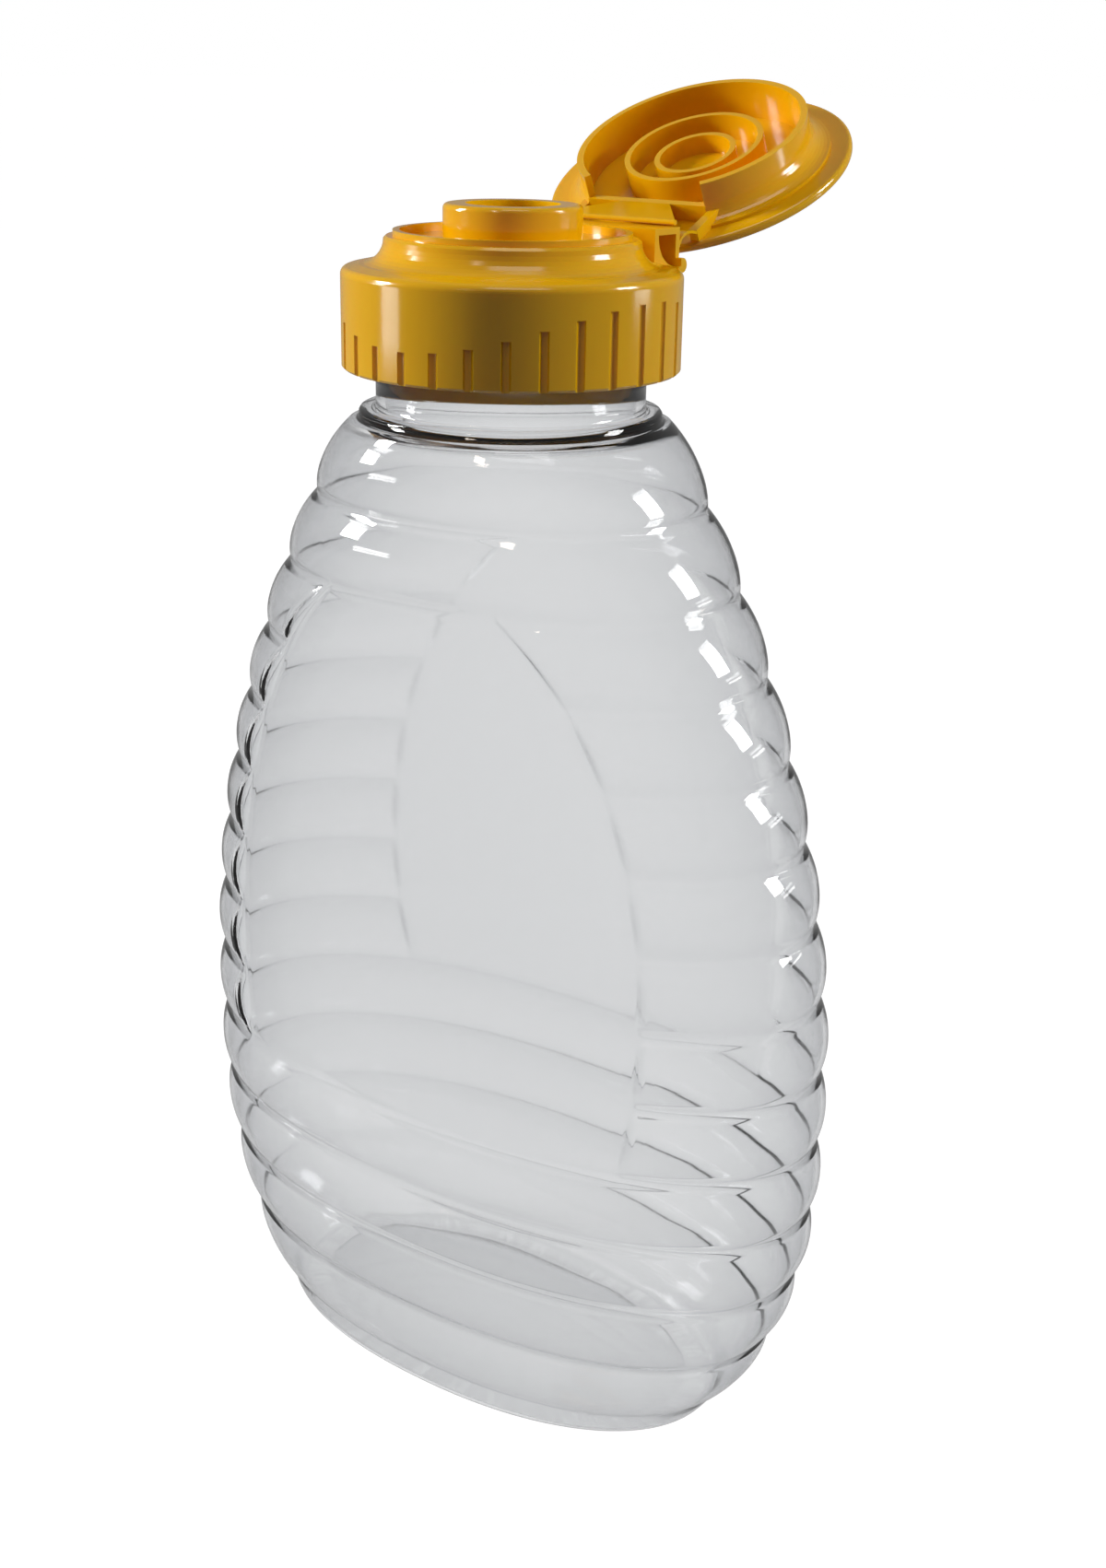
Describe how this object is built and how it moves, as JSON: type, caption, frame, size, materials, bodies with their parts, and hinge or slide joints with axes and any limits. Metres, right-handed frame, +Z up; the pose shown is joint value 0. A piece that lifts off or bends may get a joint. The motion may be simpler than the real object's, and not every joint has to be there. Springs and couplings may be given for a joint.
{
  "type": "ribbed honey bottle with flip-top closure",
  "caption": "Clear skep-shaped squeeze bottle with ribs, arched smooth panels and a screw-on yellow flip-top closure standing open.",
  "frame": {"origin": "centre of the foot, on the plane that the bottle stands on", "axes": "+Z up along the neck, front panel and pouring side towards -Y, lid hinge towards +Y, width along X"},
  "size_m": [0.0946, 0.0812, 0.1673],
  "materials": {
    "clear_pet": "clear, glossy",
    "yellow_pp": "glossy yellow",
    "seal_foam": "matt off-white foam"
  },
  "bodies": {
    "bottle": {"bottle": "clear_pet"},
    "seal": {"seal_ring": "seal_foam"},
    "closure": {"closure_base": "yellow_pp", "hinge_spring_left": "yellow_pp", "hinge_spring_right": "yellow_pp"},
    "lid": {"flip_lid": "yellow_pp", "hinge_strap": "yellow_pp"}
  },
  "joints": [
    {"name": "closure_lift", "type": "slide", "parent": "bottle", "child": "seal", "axis": [0, 0, 1], "range_m": [0, 0.00635]},
    {"name": "closure_turn", "type": "hinge", "parent": "seal", "child": "closure", "pos_m": [0, 0, 0.1444], "axis": [0, 0, 1], "range_deg": [0, 540]},
    {"name": "lid_hinge", "type": "hinge", "parent": "closure", "child": "lid", "pos_m": [0, 0.02007, 0.15085], "axis": [1, 0, 0], "range_deg": [-10, 153.8], "deforming": ["hinge_spring_left", "hinge_spring_right"]}
  ],
  "couplings": [
    {"joint": "closure_lift", "follows": "closure_turn", "m_per_rad": 0.0006737}
  ]
}
